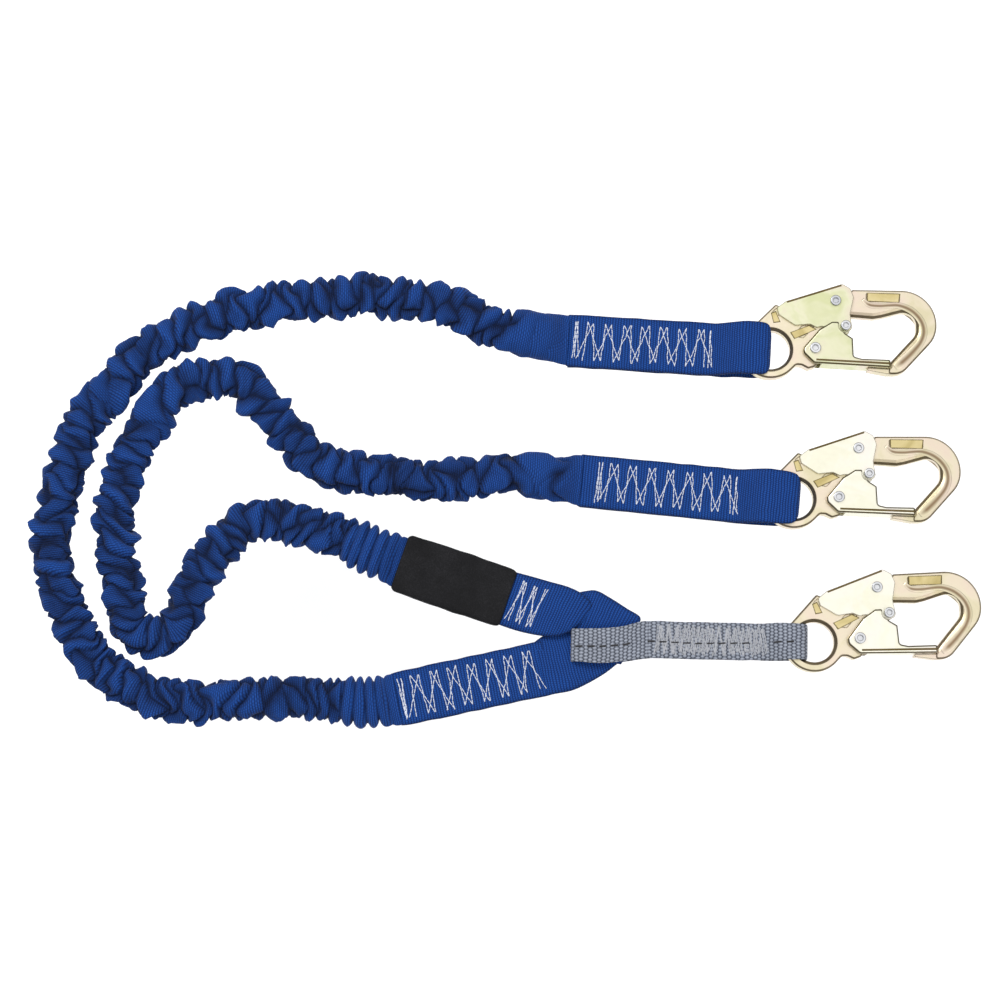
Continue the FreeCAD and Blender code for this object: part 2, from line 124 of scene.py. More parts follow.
def webbing(name, valley, crown, rib_mm, yarn_mm, rib_depth, sheen=0.3, shade=0.0, beads=0.14):
    """Ribbed webbing: ribs cross the strap, each rib a row of yarns, with painted shade in the valleys between
    ribs.
    The UV map holds millimetres, and a point attribute paints shade into creases and along edges, by as much as
    shade says."""
    m = Nodes(name)
    uv = m.add("ShaderNodeUVMap", uv_map="weave")
    split = m.add("ShaderNodeSeparateXYZ")
    m.link(uv.outputs[0], split.inputs[0])
    warp = m.add("ShaderNodeTexNoise", Scale=0.12, Detail=2.0)
    m.link(uv.outputs[0], warp.inputs["Vector"])
    along = m.math("ADD", split.outputs[1], m.math("MULTIPLY", warp.outputs[0], rib_mm * 0.8))
    row = m.math("DIVIDE", along, rib_mm)
    rib = m.math("ABSOLUTE", m.math("SINE", m.math("MULTIPLY", row, math.pi)))
    step = m.math("MULTIPLY", m.math("FLOOR", row), 0.5)
    yarn = m.math("SINE", m.math("MULTIPLY", m.math("ADD", m.math("DIVIDE", split.outputs[0], yarn_mm), step),
                                 2 * math.pi))
    height = m.math("ADD", m.math("MULTIPLY", rib, 0.8), m.math("MULTIPLY", yarn, beads))
    soft = m.add("ShaderNodeTexNoise", Scale=0.06, Detail=4.0)
    m.link(uv.outputs[0], soft.inputs["Vector"])
    fuzz = m.add("ShaderNodeTexNoise", Scale=2.2, Detail=3.0)
    m.link(uv.outputs[0], fuzz.inputs["Vector"])
    # ribs: crown colour on top, and the valley colour as painted shade between the ribs
    colour = m.mix(height, valley, crown)
    tone = m.math("ADD", m.math("MULTIPLY", soft.outputs[0], 0.35), m.math("MULTIPLY", fuzz.outputs[0], 0.3))
    ramp = m.math("ADD", tone, 0.68)
    grey = m.add("ShaderNodeCombineColor")
    for i in range(3):
        m.link(ramp, grey.inputs[i])
    colour = m.mix(1.0, colour, grey.outputs[0], "MULTIPLY")
    # painted shade in creases and along edges, read from a point attribute
    if shade:
        painted_shade = m.add("ShaderNodeAttribute", attribute_name="painted_shade")
        dark = tuple(c * 0.10 for c in valley)
        colour = m.mix(m.math("MULTIPLY", painted_shade.outputs["Fac"], shade), colour, dark)
    m.link(colour, m.bsdf.inputs["Base Color"])
    m.bsdf.inputs["Roughness"].default_value = 0.8
    m.bsdf.inputs["Specular IOR Level"].default_value = 0.16
    m.bsdf.inputs["Sheen Weight"].default_value = sheen
    m.bsdf.inputs["Sheen Roughness"].default_value = 0.45
    m.bump(m.math("ADD", height, m.math("MULTIPLY", fuzz.outputs[0], 0.25)), 0.9, rib_depth * MM)
    return m.mat


def thread(name, colour, dark):
    m = Nodes(name)
    place = m.add("ShaderNodeTexCoord")
    twist = m.add("ShaderNodeTexWave", Scale=900.0, Distortion=2.0)
    m.link(place.outputs["Object"], twist.inputs["Vector"])
    m.link(m.mix(twist.outputs[1], dark, colour), m.bsdf.inputs["Base Color"])
    m.bsdf.inputs["Roughness"].default_value = 0.6
    m.bsdf.inputs["Sheen Weight"].default_value = 0.3
    m.bump(twist.outputs[1], 0.6, 0.0002)
    return m.mat


def plated(name, a, b, c, rough, grain, dark=(0.10, 0.072, 0.022), edge_mm=1.0, painted_chamfer_reflection=0.0, painted_groove_shade=None):
    """Yellow zinc over steel: the passivation drifts between three pale tints.  Edges carry a painted dark
    reflection, and so do slanted chamfers, by as much as the chamfer amount says."""
    m = Nodes(name)
    place = m.add("ShaderNodeTexCoord")
    drift = m.add("ShaderNodeTexNoise", Scale=48.0, Detail=3.0, Distortion=0.8)
    m.link(place.outputs["Object"], drift.inputs["Vector"])
    ramp = m.add("ShaderNodeValToRGB")
    ramp.color_ramp.elements[0].position = 0.34
    ramp.color_ramp.elements[0].color = (*a, 1)
    ramp.color_ramp.elements[1].position = 0.66
    ramp.color_ramp.elements[1].color = (*c, 1)
    mid = ramp.color_ramp.elements.new(0.5)
    mid.color = (*b, 1)
    m.link(drift.outputs[0], ramp.inputs[0])
    fine = m.add("ShaderNodeTexNoise", Scale=grain, Detail=4.0)
    m.link(place.outputs["Object"], fine.inputs["Vector"])
    flat = m.add("ShaderNodeNewGeometry")
    # painted dark reflection along rounded edges: where the bevelled normal turns away from the true one
    round_off = m.add("ShaderNodeBevel", samples=6)
    round_off.inputs["Radius"].default_value = edge_mm * MM
    same = m.add("ShaderNodeVectorMath", operation="DOT_PRODUCT")
    m.link(flat.outputs["Normal"], same.inputs[0])
    m.link(round_off.outputs[0], same.inputs[1])
    edge = m.math("MINIMUM", m.math("MULTIPLY", m.math("SUBTRACT", 1.0, same.outputs["Value"]), 9.0), 0.92)
    # painted dark reflection on chamfers, by how far their normal leans from upright
    if painted_chamfer_reflection:
        facing = m.add("ShaderNodeSeparateXYZ")
        m.link(place.outputs["Normal"], facing.inputs[0])
        slant = m.add("ShaderNodeValToRGB")
        slant.color_ramp.elements[0].position = 0.22
        slant.color_ramp.elements[0].color = (0, 0, 0, 1)
        slant.color_ramp.elements[1].position = 0.97
        slant.color_ramp.elements[1].color = (0, 0, 0, 1)
        for position in (0.34, 0.90):
            slant.color_ramp.elements.new(position).color = (painted_chamfer_reflection, painted_chamfer_reflection, painted_chamfer_reflection, 1)
        m.link(m.math("ABSOLUTE", facing.outputs[2]), slant.inputs[0])
        edge = m.math("MAXIMUM", edge, slant.outputs[0])
    colour = m.mix(edge, ramp.outputs[0], dark)
    # painted shade of a groove, read from a point attribute
    if painted_groove_shade:
        painted_shade = m.add("ShaderNodeAttribute", attribute_name="painted_shade")
        colour = m.mix(painted_shade.outputs["Fac"], colour, painted_groove_shade)
    m.link(colour, m.bsdf.inputs["Base Color"])
    m.bsdf.inputs["Metallic"].default_value = 1.0
    m.link(m.math("ADD", m.math("MULTIPLY", fine.outputs[0], 0.22), rough), m.bsdf.inputs["Roughness"])
    m.bump(fine.outputs[0], 0.25, 0.00012)
    return m.mat


def rubbery(name, colour, light):
    m = Nodes(name)
    place = m.add("ShaderNodeTexCoord")
    weave = m.add("ShaderNodeTexVoronoi", Scale=1500.0)
    m.link(place.outputs["Object"], weave.inputs["Vector"])
    broad = m.add("ShaderNodeTexNoise", Scale=60.0, Detail=4.0)
    m.link(place.outputs["Object"], broad.inputs["Vector"])
    m.link(m.mix(m.math("MULTIPLY", broad.outputs[0], weave.outputs[0]), colour, light),
           m.bsdf.inputs["Base Color"])
    m.bsdf.inputs["Roughness"].default_value = 0.75
    m.bsdf.inputs["Specular IOR Level"].default_value = 0.14
    m.bump(m.math("ADD", weave.outputs[0], broad.outputs[0]), 0.6, 0.0003)
    return m.mat


# the gathered legs' crown colour is a little lighter than the flat straps': a painted highlight on the legs
BLUE_LEG = webbing("blue_gathered", (0.003, 0.014, 0.080), (0.011, 0.072, 0.325), 1.8, 1.5, 0.42, sheen=0.05,
                   shade=0.86, beads=0.2)
BLUE = webbing("blue_flat", (0.002, 0.012, 0.075), (0.010, 0.068, 0.305), 1.9, 1.5, 0.40, sheen=0.05,
               shade=0.62, beads=0.26)
GREY = webbing("grey_ribbed", (0.058, 0.066, 0.088), (0.335, 0.365, 0.435), 3.0, 2.3, 0.7, sheen=0.1,
               beads=0.4)
CORE = webbing("core_yarn", (0.45, 0.43, 0.36), (0.8, 0.78, 0.68), 3.0, 1.5, 0.3)
WHITE = thread("white_thread", (0.86, 0.88, 0.93), (0.55, 0.60, 0.75))
GREY_THREAD = thread("grey_thread", (0.60, 0.61, 0.65), (0.28, 0.29, 0.33))
TRACER = thread("tracer_yarn", (0.012, 0.012, 0.018), (0.004, 0.004, 0.006))
SLEEVE = rubbery("black_sleeve", (0.003, 0.003, 0.0035), (0.030, 0.030, 0.034))
TINTS = (0.72, 0.65, 0.44), (0.80, 0.71, 0.54), (0.80, 0.67, 0.55)
# the dark colour of each plated material paints the dark reflection on its edges and chamfers
FORGED = plated("forged_plate", *TINTS, 0.27, 700.0, (0.12, 0.08, 0.03), painted_chamfer_reflection=0.80)
# the band's plating, mixed towards dark brown as painted shade of the groove
BAND = plated("recessed_band", *TINTS, 0.30, 700.0, edge_mm=0.1, painted_groove_shade=(0.27, 0.185, 0.11))
PRESSED = plated("pressed_plate", (0.88, 0.86, 0.70), (0.92, 0.89, 0.77), (0.92, 0.87, 0.79), 0.24, 420.0,
                 (0.09, 0.066, 0.025), painted_chamfer_reflection=0.92)
OLIVE = plated("olive_plate", (0.66, 0.68, 0.40), (0.77, 0.76, 0.54), (0.78, 0.70, 0.56), 0.26, 420.0,
               (0.09, 0.066, 0.025), painted_chamfer_reflection=0.92)
RIVET = plated("rivet_plate", (0.60, 0.61, 0.64), (0.70, 0.71, 0.73), (0.78, 0.78, 0.80), 0.24, 900.0,
               (0.05, 0.05, 0.06), 0.7, painted_chamfer_reflection=0.7)
SPRING = plated("spring_wire", (0.40, 0.40, 0.42), (0.48, 0.48, 0.50), (0.55, 0.55, 0.57), 0.3, 900.0,
                (0.2, 0.2, 0.21), 0.2)


def paint(obj, mat):
    obj.data.materials.clear()
    obj.data.materials.append(mat)


# ---- mesh helpers ------------------------------------------------------------------------------------------
def grid_mesh(name, rows, uv, mat, painted_shade):
    """Tube mesh with capped ends from an array of rings (row, column, xyz), with a matching UV array in
    millimetres and an amount of painted shade for each point, kept as a point attribute."""
    n, k = rows.shape[:2]
    verts = rows.reshape(-1, 3)
    i, j = np.meshgrid(np.arange(n - 1), np.arange(k), indexing="ij")
    q = (j + 1) % k
    quads = np.stack([i * k + j, i * k + q, (i + 1) * k + q, (i + 1) * k + j], axis=2).reshape(-1, 4)
    seam_uv = 2 * uv[:, -1:] - uv[:, -2:-1]
    wide = np.concatenate([uv, seam_uv], axis=1)
    loops = np.stack([wide[i, j], wide[i, j + 1], wide[i + 1, j + 1], wide[i + 1, j]], axis=2).reshape(-1, 2)
    faces = [tuple(face) for face in quads.tolist()]
    for row, order in ((0, range(k - 1, -1, -1)), (n - 1, range(k))):
        faces.append(tuple(row * k + c for c in order))
        loops = np.vstack([loops, uv[row, list(order)]])
    mesh = bpy.data.meshes.new(name)
    mesh.from_pydata([tuple(v) for v in verts * MM], [], faces)
    layer = mesh.uv_layers.new(name="weave")
    layer.data.foreach_set("uv", np.asarray(loops, dtype=float).reshape(-1))
    attribute = mesh.attributes.new("painted_shade", "FLOAT", "POINT")
    attribute.data.foreach_set("value", painted_shade.reshape(-1).astype(float))
    mesh.polygons.foreach_set("use_smooth", [True] * len(faces))
    mesh.update()
    obj = bpy.data.objects.new(name, mesh)
    bpy.context.collection.objects.link(obj)
    paint(obj, mat)
    return obj


def smooth_line(points, step):
    """Catmull-Rom line through points of any dimension, resampled at an even step along its first three."""
    p = np.asarray(points, dtype=float)
    p = np.vstack([2 * p[0] - p[1], p, 2 * p[-1] - p[-2]])
    out = []
    for i in range(1, len(p) - 2):
        t = np.linspace(0, 1, 24, endpoint=False)[:, None]
        a, b, c, d = p[i - 1], p[i], p[i + 1], p[i + 2]
        out.append(0.5 * (2 * b + (c - a) * t + (2 * a - 5 * b + 4 * c - d) * t ** 2
                          + (3 * b - a - 3 * c + d) * t ** 3))
    out = np.vstack(out + [p[-2][None]])
    length = np.r_[0, np.cumsum(np.linalg.norm(np.diff(out[:, :3], axis=0), axis=1))]
    at = np.linspace(0, length[-1], max(8, int(length[-1] / step)))
    return np.stack([np.interp(at, length, out[:, i]) for i in range(out.shape[1])], axis=1), at


def noise_line(at, scale, seed):
    """Smooth random line, about -1 to 1, sampled at at."""
    local = np.random.default_rng(seed)
    knots = np.arange(at.min() - 3 * scale, at.max() + 4 * scale, scale)
    values = local.uniform(-1, 1, len(knots))
    i = np.clip(np.searchsorted(knots, at) - 1, 0, len(knots) - 2)
    t = (at - knots[i]) / scale
    t = t * t * (3 - 2 * t)
    return values[i] * (1 - t) + values[i + 1] * t


def ribbon(name, line, side, thick, mat, step=1.0, edge=0.3, wave=0.25, seed=1, columns=40):
    """Flat webbing along line (x, y, z, width in mm); side is the direction across it."""
    pts, at = smooth_line(line, step)
    pos, width = pts[:, :3], pts[:, 3]
    side = np.asarray(side, dtype=float)
    tangent = np.gradient(pos, axis=0)
    tangent /= np.linalg.norm(tangent, axis=1)[:, None]
    across = np.tile(side / np.linalg.norm(side), (len(pos), 1))
    normal = np.cross(tangent, across)
    normal /= np.linalg.norm(normal, axis=1)[:, None]
    a = np.linspace(0, 2 * math.pi, columns, endpoint=False)
    x = np.sign(np.cos(a)) * np.abs(np.cos(a)) ** 0.45
    z = np.sign(np.sin(a)) * np.abs(np.sin(a)) ** edge
    ripple = wave * noise_line(at, 9.0, seed)
    lift = wave * 0.5 * noise_line(at, 14.0, seed + 5)
    half = (width / 2 + ripple)[:, None]
    rows = (pos[:, None] + across[:, None] * (half * x)[..., None]
            + normal[:, None] * (thick / 2 * z + lift[:, None] * 0.4)[..., None])
    uv = np.stack([half * x * np.ones_like(z), at[:, None] * np.ones_like(x)], axis=2)
    # painted shade along both edges of the strap
    dark = np.clip((np.abs(x) - 0.88) / 0.12, 0, 1) ** 1.3 * np.ones_like(half)
    return grid_mesh(name, rows, uv, mat, dark)


def loft(name, pairs, thick, mat, step=1.2, columns=28, crown=0.6):
    """Webbing through given cross lines ((x, y, z) of one edge, then of the other)."""
    flat = [(*[(p[i] + q[i]) / 2 for i in range(3)], *p, *q) for p, q in pairs]
    pts, at = smooth_line(flat, step)
    a, b = pts[:, 3:6], pts[:, 6:9]
    across = a - b
    width = np.linalg.norm(across, axis=1)
    mid = (a + b) / 2
    tangent = np.gradient(mid, axis=0)
    normal = np.cross(across, tangent)
    normal /= np.linalg.norm(normal, axis=1)[:, None]
    normal *= np.sign(normal[len(normal) // 3, 2] or 1)
    turn = np.linspace(0, 2 * math.pi, columns * 2, endpoint=False)
    x = np.sign(np.cos(turn)) * np.abs(np.cos(turn)) ** 0.6
    z = np.sign(np.sin(turn)) * np.abs(np.sin(turn)) ** 0.3
    bow = crown * (1 - x ** 2)
    rows = (mid[:, None] + across[:, None] * (x / 2)[None, :, None]
            + normal[:, None] * (thick / 2 * z + bow)[:, None])
    uv = np.stack([width[:, None] / 2 * x, at[:, None] * np.ones_like(x)], axis=2)
    # painted shade along both edges of the webbing
    dark = np.clip((np.abs(x) - 0.85) / 0.15, 0, 1) ** 1.3 * np.ones_like(width)[:, None]
    return grid_mesh(name, rows, uv, mat, dark)


def seam(name, paths, radius, mat, body):
    """Threads: each path is a list of (x, y, z) in millimetres, drawn as a fine round curve."""
    data = bpy.data.curves.new(name, "CURVE")
    data.dimensions = "3D"
    data.bevel_depth = radius * MM
    data.bevel_resolution = 1
    data.use_fill_caps = True
    for path in paths:
        spline = data.splines.new("POLY")
        spline.points.add(len(path) - 1)
        for point, (x, y, z) in zip(spline.points, path):
            point.co = (x * MM, y * MM, z * MM, 1)
    obj = bpy.data.objects.new(name, data)
    bpy.context.collection.objects.link(obj)
    data.materials.append(mat)
    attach(obj, body)
    return obj


def placed(x, y, heading):
    """Function from strap coordinates (u along, v across, z) to the row frame, in millimetres."""
    c, s = math.cos(math.radians(heading)), math.sin(math.radians(heading))
    return lambda u, v, z: (x + u * c - v * s, y + u * s + v * c, z)


def sideways(heading):
    """Direction across a strap with this heading."""
    return -math.sin(math.radians(heading)), math.cos(math.radians(heading)), 0


# ---- gathered elastic legs ---------------------------------------------------------------------------------
LEG_A = [(-79.2, 114.2), (-97, 115.6), (-126, 121), (-148, 128), (-166, 141), (-206, 145.5), (-248, 145),
         (-288, 137.5), (-322, 131), (-358, 114), (-382, 98), (-392, 79), (-407, 66), (-419, 42), (-423, 18),
         (-431, -3), (-429, -40), (-423, -71), (-408, -98), (-390, -117), (-368, -132), (-338, -135),
         (-300, -138), (-268, -133), (-236, -135.5), (-214, -138.1), LOWER_END]
LEG_B = [(-70.8, 15.9), (-88, 17.7), (-120, 19.5), (-150, 14.5), (-176, 14), (-206, 19.4), (-238, 21.5),
         (-257, 31), (-269, 47), (-285, 63), (-297, 79), (-313, 87.5), (-340, 86.5), (-355, 73), (-372, 47),
         (-384, 18), (-388, -10), (-390, -38), (-383, -62), (-378, -91), (-347, -92), (-338, -68),
         (-328, -46), (-313, -25), (-296, -11), (-274, -10.5), (-247, -19), (-212, -35), UPPER_END]


def route(points, level):
    """Points read from one NURBS spline through the control points."""
    curve = bpy.data.curves.new("route", "CURVE")
    curve.dimensions = "3D"
    spline = curve.splines.new("NURBS")
    spline.points.add(len(points) - 1)
    for point, (x, y) in zip(spline.points, points):
        point.co = (x * MM, y * MM, level * MM, 1)
    spline.order_u = 3
    spline.use_endpoint_u = True
    spline.resolution_u = 24
    holder = bpy.data.objects.new("route", curve)
    bpy.context.collection.objects.link(holder)
    mesh = bpy.data.meshes.new_from_object(holder)
    line = np.array([v.co[:] for v in mesh.vertices]) / MM
    bpy.data.objects.remove(holder)
    bpy.data.meshes.remove(mesh)
    return line


def pillows(s, v, seed, pitch, across, tilt):
    """Crumpled cloth, 0 in a crease to 1 on a crest: cells of uneven size, longer across than along.
    s is in lobes along the leg, v goes round it from 0 to 1 and joins up."""
    local = np.random.default_rng(seed)
    count = int(s.max()) + 4
    jitter = local.uniform(-0.42, 0.42, (count + 4, across, 2))
    offset = local.uniform(0, 1, count + 4)
    near = np.full(s.shape, 9.0)
    second = np.full(s.shape, 9.0)
    row = np.floor(s).astype(int)
    for ds in (-2, -1, 0, 1, 2):
        r = np.clip(row + ds + 2, 0, count + 3)
        place = v * across - offset[r] * across
        column = np.floor(place).astype(int)
        for dv in (-1, 0, 1):
            c = np.mod(column + dv, across)
            u = column + dv + 0.5 + jitter[r, c, 0] - place
            w = row + ds + 0.5 + jitter[r, c, 1] - s + tilt * u
            d = np.sqrt(w ** 2 + (u * pitch) ** 2)
            second = np.minimum(second, np.maximum(near, d))
            near = np.minimum(near, d)
    return np.clip((second - near) / 0.75, 0, 1)


def lobe_scale(s, zones):
    """Lobes counted along the leg, with lobes of another length where zones say."""
    density = np.full(s.shape, 1 / LOBE_PITCH)
    for start, stop, length in zones:
        density[(s >= start) & (s < stop)] = 1 / length
    return np.cumsum(density) * (s[1] - s[0])


def gathered_leg(name, points, level, seed, zones, quiet):
    """Gathered cloth round a leg's centre line.  zones are stretches with lobes of their own length, and
    quiet ones (start, stop, amount) are smoother and wider."""
    line = route(points, level)
    arc = np.r_[0, np.cumsum(np.linalg.norm(np.diff(line, axis=0), axis=1))]
    length = arc[-1]
    columns = 92
    at = np.linspace(0, length, int(length / 0.92))
    phi = np.linspace(0, 2 * math.pi, columns, endpoint=False)
    s, v = np.meshgrid(at, phi / (2 * math.pi), indexing="ij")
    turn = np.tile(phi, (len(at), 1))
    lobes = lobe_scale(at, zones)[:, None] * np.ones(columns)
    ease = np.clip(np.minimum(at, length - at) / 15.0, 0, 1)
    ease = (ease * ease * (3 - 2 * ease))[:, None]
    strength = np.ones(len(at))
    for start, stop, amount in quiet:
        inside = np.clip(np.minimum(at - start, stop - at) / 7.0, 0, 1)
        strength = strength * (1 - (1 - amount) * inside)
    strength = strength[:, None]
    # creases wander and lean, and the leg is a flattened tube that rolls a little
    lean = (0.42 * noise_line(at, 31.0, seed + 1))[:, None] * np.cos(turn)
    wander = 0.30 * (noise_line(at, 13.0, seed + 2)[:, None] * np.sin(2 * turn)
                     + noise_line(at, 9.0, seed + 3)[:, None] * np.cos(3 * turn))
    coarse = pillows(lobes + lean + wander, v, seed + 4, 0.62, 3, 0.25)
    middle = pillows(lobes * 1.75 + lean * 1.5 + wander * 2, v, seed + 5, 0.80, 5, -0.3)
    fine = pillows(lobes * 3.4 + wander * 4, v, seed + 6, 1.0, 9, 0.2)
    crest = np.sqrt(coarse)
    form = 0.83 * crest + 0.13 * np.sqrt(middle) + 0.04 * fine
    # even pleats beside the sewn end
    pleated = np.clip((at - (length - PLEATED_END)) / 8.0, 0, 1)[:, None]
    ridge = np.abs(np.sin(math.pi * s / PLEAT_PITCH + 0.25 * np.cos(turn))) ** 0.6
    form = form * (1 - pleated) + (0.34 + 0.60 * ridge) * pleated
    out = (-5.4 + 10.0 * form) * strength + (1.7 * (1 - strength))
    out = out * ease + 0.9 * (1 - ease)
    shift = ((1.9 * noise_line(at, 12.0, seed + 7) + 1.0 * noise_line(at, 27.0, seed + 8))[:, None]
             * ease * strength)
    roll = (0.16 * noise_line(at, 22.0, seed + 9))[:, None] * ease
    half_w = 13.7 + out + 3.0 * (1 - ease) + 2.2 * (1 - strength) * ease
    half_h = 7.2 + 0.66 * out - 4.7 * (1 - ease)
    x = np.sign(np.cos(turn)) * np.abs(np.cos(turn)) ** 0.82 * half_w
    z = np.sin(turn) * half_h
    x, z = x * np.cos(roll) - z * np.sin(roll), x * np.sin(roll) + z * np.cos(roll)
    # even the deepest crease stays outside the core
    x = x + shift
    inside = np.sqrt((x / CORE_CLEAR[0]) ** 2 + (z / CORE_CLEAR[1]) ** 2)
    push = 1 + (np.maximum(1, 1 / inside) - 1) * ease ** 4
    x, z = x * push, z * push
    # a crest leans over its neighbour
    tip = np.gradient(crest, axis=0)
    slide = (3.0 * noise_line(at, 17.0, seed + 10)[:, None] * crest * ease * strength)
    run = np.clip(s + slide * 0.5 - tip * 0.4, 0, length)
    centre = np.stack([np.interp(run, arc, line[:, k]) for k in range(3)], axis=2)
    ahead = np.stack([np.interp(np.minimum(run + 2.5, length), arc, line[:, k]) for k in range(2)], axis=2)
    behind = np.stack([np.interp(np.maximum(run - 2.5, 0), arc, line[:, k]) for k in range(2)], axis=2)
    heading = ahead - behind
    heading /= np.linalg.norm(heading, axis=2)[..., None]
    lateral = np.stack([-heading[..., 1], heading[..., 0], np.zeros(heading.shape[:2])], axis=2)
    rows = centre + lateral * x[..., None]
    drop = (level - 4.6) * (1 - ease)
    rows[..., 2] = np.maximum(rows[..., 2] + z - drop, 0.15)
    # painted shade, darkest in the creases, fading out in quiet stretches and at the ends
    painted_shade = np.clip((0.80 - form) / 0.56, 0, 1) * strength * ease
    # the cloth is longer than the leg: its ribs bunch up on the way in and out of each crease
    uv = np.stack([turn * 12.0, s * 1.25 + form * 3.0], axis=2)
    return grid_mesh(name, rows, uv, BLUE_LEG, painted_shade), line, length


for tag, points, seed, zones, quiet in (
    ("a", LEG_A, 11, [(0, 46, 20), (250, 275, 15), (330, 352, 17), (470, 500, 15), (690, 760, 9)],
     [(-10, 38, 0.20), (336, 356, 0.5)]),
    ("b", LEG_B, 23, [(0, 70, 24), (228, 262, 16), (318, 340, 16), (520, 545, 17), (660, 720, 9)],
     [(-10, 13, 0.35), (17, 44, 0.30), (322, 342, 0.5)]),
):
    leg, line, length = gathered_leg("leg_%s_web" % tag, points, LEG_LEVEL, seed, zones, quiet)
    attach(leg, "webbing")
    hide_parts("leg_%s_jacket" % tag)
    paint(NODES["leg_%s_core" % tag], CORE)


# ---- sewn end straps and their loops round the eyes --------------------------------------------------------
def top_of(*pieces):
    """Height in millimetres of the highest cloth of these pieces over a point of the plan."""
    trees = [BVHTree.FromPolygons([v.co for v in p.data.vertices], [f.vertices for f in p.data.polygons])
             for p in pieces]

    def height(x, y):
        found = [t.ray_cast(Vector((x * MM, y * MM, 0.2)), Vector((0, 0, -1)))[0] for t in trees]
        found = [hit.z / MM for hit in found if hit is not None]
        return max(found) if found else None
    return height


def sewn(place, corners, height, stitch=3.3, proud=0.24, seed=1):
    """Thread through corners (u, v) on a strap, proud of the cloth, that dips in at each stitch end."""
    local = np.random.default_rng(seed)
    path = []
    for (u0, v0), (u1, v1) in zip(corners, corners[1:]):
        stitches = max(1, round(math.hypot(u1 - u0, v1 - v0) / stitch))
        bow = local.normal(0, 0.25, stitches + 1)
        for n in range(stitches * 6):
            t = n / (stitches * 6)
            phase = t * stitches
            k = int(phase)
            side = bow[k] * (1 - phase + k) + bow[k + 1] * (phase - k)
            x, y, _ = place(u0 + (u1 - u0) * t + side, v0 + (v1 - v0) * t, 0)
            z = height(x, y)
            if z is not None:
                path.append((x, y, z - 0.42 + (0.42 + proud) * abs(math.sin(math.pi * phase)) ** 0.5))
    return path


def zigzag(place, start, end, half, pairs, height, slant=0.0, seed=1):
    """Two zigzag rows over a strap that cross in every stroke; slant is how far apart they start."""
    local = np.random.default_rng(seed)
    step = (end - start) / (2 * pairs)
    rows = []
    for k in (0, 1):
        corners = []
        for i in range(int(2 * pairs) + 1):
            high = i % 2
            corners.append((start + i * step + slant * ((i + k) % 2) + local.normal(0, 0.35),
                            (half if high else -half) + local.normal(0, 0.5)))
        rows.append(sewn(place, corners, height, seed=seed + k))
    return rows


def tack(place, u, half, lines, height, seed=1):
    """Back-tack: a few strokes to and fro on nearly the same line."""
    local = np.random.default_rng(seed)
    corners = [(u + 1.5 * (i // 2) + local.normal(0, 0.5), (half if i % 2 else -half) + local.normal(0, 1.0))
               for i in range(lines)]
    return [sewn(place, corners, height, seed=seed)]


def end_strap(tag, full, sewn_from, sewn_to, tip, slim):
    """Strap of length full behind the eye of hook tag, sewn from one place to another.  Its loop reaches tip
    further through the eye than the profile says, and is slimmer there by slim."""
    x, y, heading, _ = EYES[tag]
    place = placed(x, y, heading)
    # along the strap, height, width: below to the eye, through it, and back above
    profile = [(-full + 0.8, 1.55, 36.4), (-full + 6, 1.55, 36.8), (-80, 1.5, 37), (-55, 1.5, 37),
               (-38, 1.6, 37), (-28, 1.9, 37), (-20, 3.3, 37), (-9, 3.7, 36.6), (-4.0, 5.0, 33),
               (-1.1, 8.0, 26.5), (-0.7, 11.0, 25.6), (-1.1, 14.0, 27.5), (-2.6, 16.6, 34.5),
               (-6.5, 17.7, 37), (-14, 17.8, 37.2), (-20, 17.0, 37), (-28, 11.6, 37), (-36, 5.9, 37),
               (-42, 4.7, 37), (-60, 4.5, 37), (-90, 4.5, 37), (-full + 5, 4.5, 36.6),
               (-full - 0.6, 4.3, 36)]
    line = [(*place(u + tip * max(0, u + 14) / 13.3, 0, z), w - slim * max(0, u + 14) / 13.3)
            for u, z, w in profile]
    web = ribbon("leg_%s_end_web" % tag, line, sideways(heading), WEB_THICK, BLUE, seed=ord(tag))
    tuple(c * MM for c in place(BEND_AT - BEND_HALF, 0, 3))
    tuple(c * MM for c in place(BEND_AT + BEND_HALF, 0, 3))
    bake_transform(web)
    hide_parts("leg_%s_end_strap" % tag, "leg_%s_eye_loop" % tag)
    local = placed(*place(-full, 0, 0)[:2], heading)
    height = top_of(web)
    rows = zigzag(local, sewn_from + 3, sewn_to - 4.5, 13.4, 7, height, 4.6, ord(tag))
    rows += tack(local, sewn_from + 1, 13.0, 5, height, ord(tag) + 3)
    rows += tack(local, sewn_to - 2, 12.6, 3, height, 5)
    threads = seam("leg_%s_end_thread" % tag, rows, THREAD_RADIUS, WHITE, "webbing")
    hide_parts("leg_%s_end_stitching" % tag)


end_strap("a", 139.0, 3.0, 100.0, 0.0, 0.0)
end_strap("b", 144.9, 10.0, 108.0, 4.0, 1.5)

# ---- lower branch, sleeve, upper branch and bight ----------------------------------------------------------
lower = placed(*LOWER_END, LOWER_HEADING)
for name, level, start in (("lower_branch_web", 4.5, -0.4), ("lower_branch_ply", 1.5, 0.6)):
    line = [(*lower(u, 0, level), w)
            for u, w in ((start, 36), (8, 36.8), (40, 37), (75, 37), (97, 37), (103.5, 36.5))]
    piece = ribbon(name, line, sideways(LOWER_HEADING), WEB_THICK, BLUE, seed=len(name))
    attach(piece, "webbing")
    if level > 3:
        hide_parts("lower_branch_strap")
        height = top_of(piece)
rows = zigzag(lower, 6, 96, 14.0, 7, height, 4.6, 31) + tack(lower, 3, 13, 5, height, 32)
threads = seam("lower_branch_thread", rows, THREAD_RADIUS, WHITE, "webbing")
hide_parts("lower_branch_stitching")

